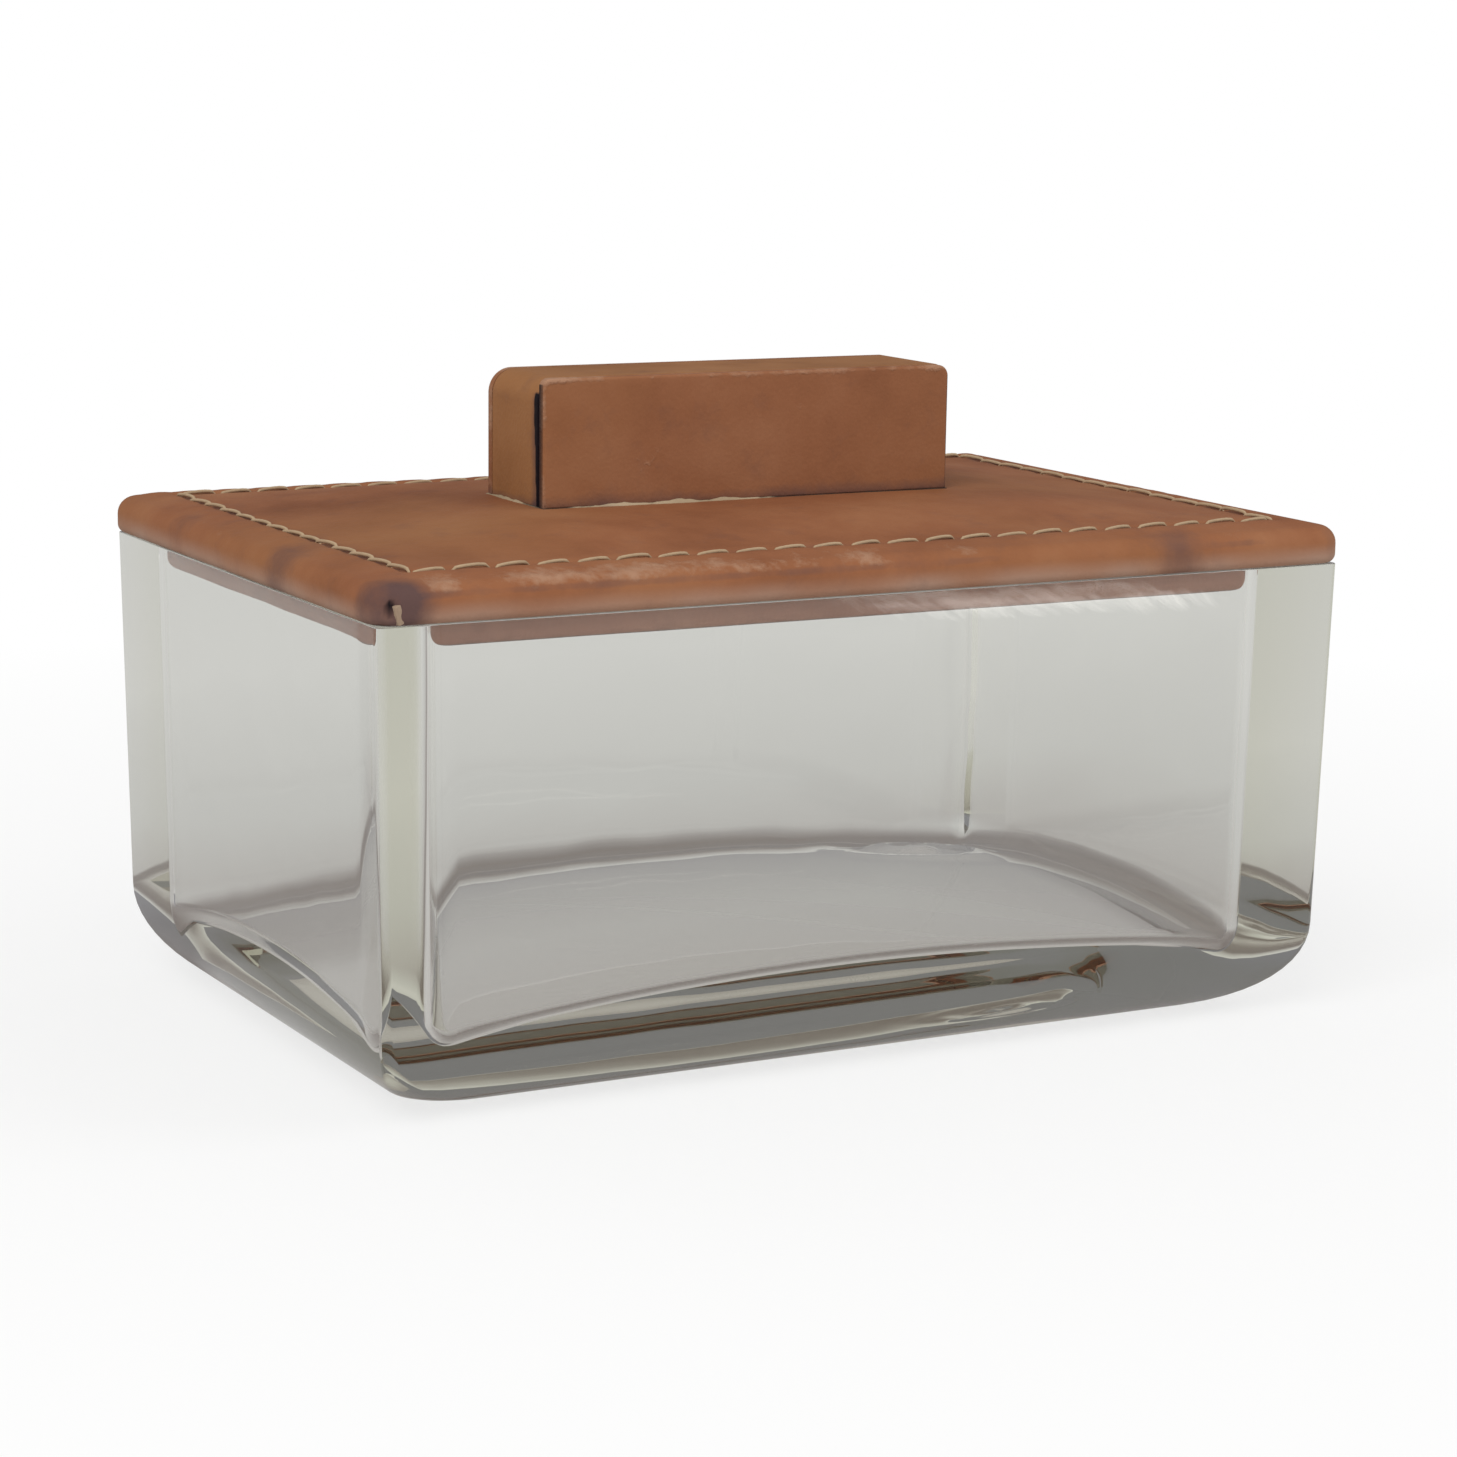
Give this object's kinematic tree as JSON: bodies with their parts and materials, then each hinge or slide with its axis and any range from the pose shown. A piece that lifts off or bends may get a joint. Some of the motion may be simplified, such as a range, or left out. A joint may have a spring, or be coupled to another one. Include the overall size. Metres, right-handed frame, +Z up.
{
  "type": "glass box",
  "caption": "Thick pressed-glass table box, rectangular, with a lift-off lid covered in saddle-stitched tan leather and topped by a leather-covered block handle.",
  "frame": {"origin": "centre of the tank's flat underside, on the surface that the box stands on", "axes": "+X along the long front, to the right; +Y from the front to the back; +Z up, the way the lid lifts"},
  "size_m": [0.1516, 0.101, 0.0934],
  "materials": {
    "clear_glass": "clear, polished, faint green-yellow tint in the thick parts",
    "tan_leather": "vegetable-tanned tan leather, smooth grain, scuffed and burnished at the edges",
    "linen_thread": "waxed linen thread, undyed",
    "beech": "plain wood, hidden under the leather",
    "brass_pin": "plain, hidden",
    "steel_screw": "plain, hidden",
    "raw_fibre": "dried glue and raw leather fibre"
  },
  "bodies": {
    "tank": {"glass_tank": "clear_glass"},
    "lid": {"lid_board": "beech", "lid_cover": "tan_leather", "lid_lining": "tan_leather", "plug_board": "beech", "plug_cover": "tan_leather", "plug_pins": "brass_pin", "stitch_front": "linen_thread", "stitch_back": "linen_thread", "stitch_left": "linen_thread", "stitch_right": "linen_thread", "handle_core": "beech", "handle_wrap": "tan_leather", "handle_front_panel": "tan_leather", "handle_back_panel": "tan_leather", "handle_screws": "steel_screw", "handle_glue": "raw_fibre"}
  },
  "joints": [
    {"name": "lid_lift", "type": "slide", "parent": "tank", "child": "lid", "axis": [0, 0, 1], "range_m": [0, 0.1]}
  ]
}
